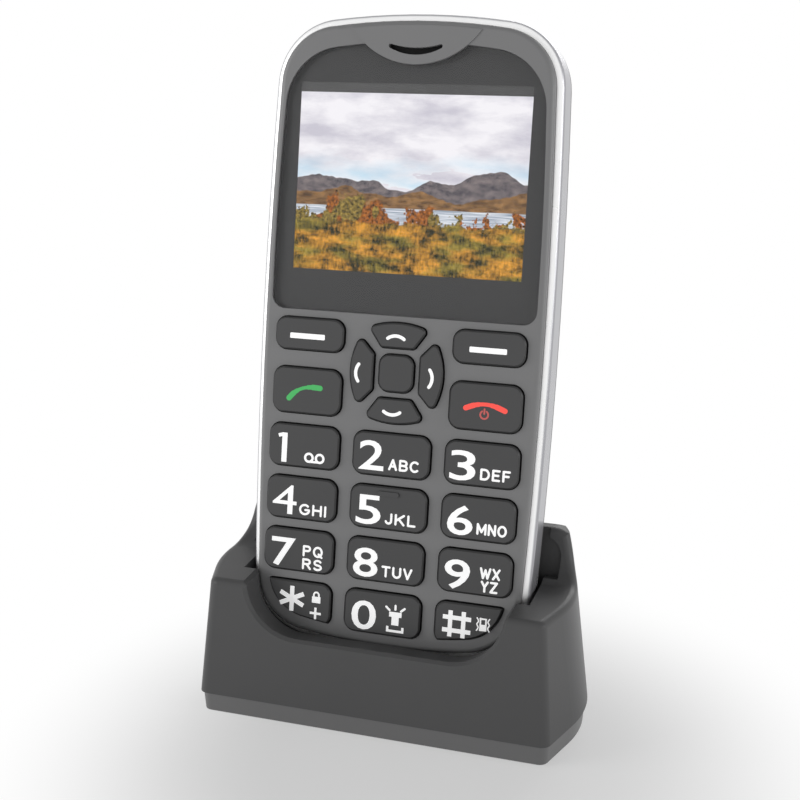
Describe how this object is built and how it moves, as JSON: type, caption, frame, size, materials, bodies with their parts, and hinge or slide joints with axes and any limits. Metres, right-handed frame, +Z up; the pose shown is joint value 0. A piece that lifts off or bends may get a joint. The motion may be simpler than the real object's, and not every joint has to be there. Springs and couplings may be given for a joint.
{
  "type": "feature phone with charging dock",
  "caption": "Feature phone with large keys and a colour display, standing in a charging dock with a scooped front and a raised back.",
  "frame": {"origin": "middle of the dock's underside, on the surface that it stands on", "axes": "+Z up, -Y the way the dock and the keypad face, +X the viewer's right"},
  "size_m": [0.084, 0.0476, 0.1433],
  "materials": {
    "bezel_grey": "satin dark grey",
    "window_glass": "tinted gloss",
    "display": "lit picture in a black frame",
    "mesh_black": "woven, black",
    "nickel": "plated",
    "rubber_black": "matt",
    "contact_film": "film with steel domes",
    "board_green": "solder mask",
    "gold": "plated",
    "silver_paint": "satin silver",
    "clear_lens": "clear",
    "black_moulding": "satin",
    "battery_wrap": "printed wrap",
    "help_red": "satin",
    "cover_grey": "fine texture",
    "screw_steel": "plated",
    "key_grey": "satin, white legends",
    "dock_grey": "fine satin texture"
  },
  "bodies": {
    "dock": {"dock_shell": "dock_grey", "dock_base": "dock_grey", "dock_sole": "rubber_black", "dock_screws": "screw_steel", "dock_board": "board_green", "dock_usb_socket": "nickel", "pin_block": "black_moulding", "pin_barrels": "gold"},
    "phone": {"front_bezel": "bezel_grey", "display_lens": "window_glass", "lcd_module": "display", "earpiece_mesh": "mesh_black", "earpiece_receiver": "nickel", "keypad_mat": "rubber_black", "dome_sheet": "contact_film", "main_board": "board_green", "microphone": "nickel", "vibration_motor": "nickel", "phone_usb_socket": "nickel", "charge_pads": "gold", "rear_housing": "silver_paint", "torch_lens": "clear_lens", "battery_terminals": "black_moulding", "sim_holder": "nickel", "battery": "battery_wrap", "loudspeaker": "black_moulding", "antenna": "black_moulding", "sos_switch": "black_moulding", "back_cover": "cover_grey", "housing_screws": "screw_steel"},
    "key_soft_left_cap": {"key_soft_left": "key_grey"},
    "key_soft_right_cap": {"key_soft_right": "key_grey"},
    "key_call_cap": {"key_call": "key_grey"},
    "key_end_cap": {"key_end": "key_grey"},
    "key_up_cap": {"key_up": "key_grey"},
    "key_down_cap": {"key_down": "key_grey"},
    "key_left_cap": {"key_left": "key_grey"},
    "key_right_cap": {"key_right": "key_grey"},
    "key_ok_cap": {"key_ok": "key_grey"},
    "key_1_cap": {"key_1": "key_grey"},
    "key_2_cap": {"key_2": "key_grey"},
    "key_3_cap": {"key_3": "key_grey"},
    "key_4_cap": {"key_4": "key_grey"},
    "key_5_cap": {"key_5": "key_grey"},
    "key_6_cap": {"key_6": "key_grey"},
    "key_7_cap": {"key_7": "key_grey"},
    "key_8_cap": {"key_8": "key_grey"},
    "key_9_cap": {"key_9": "key_grey"},
    "key_star_cap": {"key_star": "key_grey"},
    "key_0_cap": {"key_0": "key_grey"},
    "key_hash_cap": {"key_hash": "key_grey"},
    "sos_cap": {"sos_button": "help_red"},
    "pin_left": {"charge_pin_left": "gold"},
    "pin_right": {"charge_pin_right": "gold"}
  },
  "joints": [
    {"name": "phone_lift", "type": "slide", "parent": "dock", "child": "phone", "axis": [0, 0.1994, 0.9799], "range_m": [0, 0.06]},
    {"name": "key_soft_left_press", "type": "slide", "parent": "phone", "child": "key_soft_left_cap", "axis": [0, 0.9799, -0.1994], "range_m": [0, 0.0003], "stiffness_N_per_m": 4000},
    {"name": "key_soft_right_press", "type": "slide", "parent": "phone", "child": "key_soft_right_cap", "axis": [0, 0.9799, -0.1994], "range_m": [0, 0.0003], "stiffness_N_per_m": 4000},
    {"name": "key_call_press", "type": "slide", "parent": "phone", "child": "key_call_cap", "axis": [0, 0.9799, -0.1994], "range_m": [0, 0.0003], "stiffness_N_per_m": 4000},
    {"name": "key_end_press", "type": "slide", "parent": "phone", "child": "key_end_cap", "axis": [0, 0.9799, -0.1994], "range_m": [0, 0.0003], "stiffness_N_per_m": 4000},
    {"name": "key_up_press", "type": "slide", "parent": "phone", "child": "key_up_cap", "axis": [0, 0.9799, -0.1994], "range_m": [0, 0.0003], "stiffness_N_per_m": 4000},
    {"name": "key_down_press", "type": "slide", "parent": "phone", "child": "key_down_cap", "axis": [0, 0.9799, -0.1994], "range_m": [0, 0.0003], "stiffness_N_per_m": 4000},
    {"name": "key_left_press", "type": "slide", "parent": "phone", "child": "key_left_cap", "axis": [0, 0.9799, -0.1994], "range_m": [0, 0.0003], "stiffness_N_per_m": 4000},
    {"name": "key_right_press", "type": "slide", "parent": "phone", "child": "key_right_cap", "axis": [0, 0.9799, -0.1994], "range_m": [0, 0.0003], "stiffness_N_per_m": 4000},
    {"name": "key_ok_press", "type": "slide", "parent": "phone", "child": "key_ok_cap", "axis": [0, 0.9799, -0.1994], "range_m": [0, 0.0003], "stiffness_N_per_m": 4000},
    {"name": "key_1_press", "type": "slide", "parent": "phone", "child": "key_1_cap", "axis": [0, 0.9799, -0.1994], "range_m": [0, 0.0003], "stiffness_N_per_m": 4000},
    {"name": "key_2_press", "type": "slide", "parent": "phone", "child": "key_2_cap", "axis": [0, 0.9799, -0.1994], "range_m": [0, 0.0003], "stiffness_N_per_m": 4000},
    {"name": "key_3_press", "type": "slide", "parent": "phone", "child": "key_3_cap", "axis": [0, 0.9799, -0.1994], "range_m": [0, 0.0003], "stiffness_N_per_m": 4000},
    {"name": "key_4_press", "type": "slide", "parent": "phone", "child": "key_4_cap", "axis": [0, 0.9799, -0.1994], "range_m": [0, 0.0003], "stiffness_N_per_m": 4000},
    {"name": "key_5_press", "type": "slide", "parent": "phone", "child": "key_5_cap", "axis": [0, 0.9799, -0.1994], "range_m": [0, 0.0003], "stiffness_N_per_m": 4000},
    {"name": "key_6_press", "type": "slide", "parent": "phone", "child": "key_6_cap", "axis": [0, 0.9799, -0.1994], "range_m": [0, 0.0003], "stiffness_N_per_m": 4000},
    {"name": "key_7_press", "type": "slide", "parent": "phone", "child": "key_7_cap", "axis": [0, 0.9799, -0.1994], "range_m": [0, 0.0003], "stiffness_N_per_m": 4000},
    {"name": "key_8_press", "type": "slide", "parent": "phone", "child": "key_8_cap", "axis": [0, 0.9799, -0.1994], "range_m": [0, 0.0003], "stiffness_N_per_m": 4000},
    {"name": "key_9_press", "type": "slide", "parent": "phone", "child": "key_9_cap", "axis": [0, 0.9799, -0.1994], "range_m": [0, 0.0003], "stiffness_N_per_m": 4000},
    {"name": "key_star_press", "type": "slide", "parent": "phone", "child": "key_star_cap", "axis": [0, 0.9799, -0.1994], "range_m": [0, 0.0003], "stiffness_N_per_m": 4000},
    {"name": "key_0_press", "type": "slide", "parent": "phone", "child": "key_0_cap", "axis": [0, 0.9799, -0.1994], "range_m": [0, 0.0003], "stiffness_N_per_m": 4000},
    {"name": "key_hash_press", "type": "slide", "parent": "phone", "child": "key_hash_cap", "axis": [0, 0.9799, -0.1994], "range_m": [0, 0.0003], "stiffness_N_per_m": 4000},
    {"name": "sos_press", "type": "slide", "parent": "phone", "child": "sos_cap", "axis": [0, -0.9799, 0.1994], "range_m": [0, 0.0004], "stiffness_N_per_m": 4000},
    {"name": "pin_left_press", "type": "slide", "parent": "dock", "child": "pin_left", "axis": [0, -0.1994, -0.9799], "range_m": [0, 0.0008], "stiffness_N_per_m": 600},
    {"name": "pin_right_press", "type": "slide", "parent": "dock", "child": "pin_right", "axis": [0, -0.1994, -0.9799], "range_m": [0, 0.0008], "stiffness_N_per_m": 600}
  ]
}
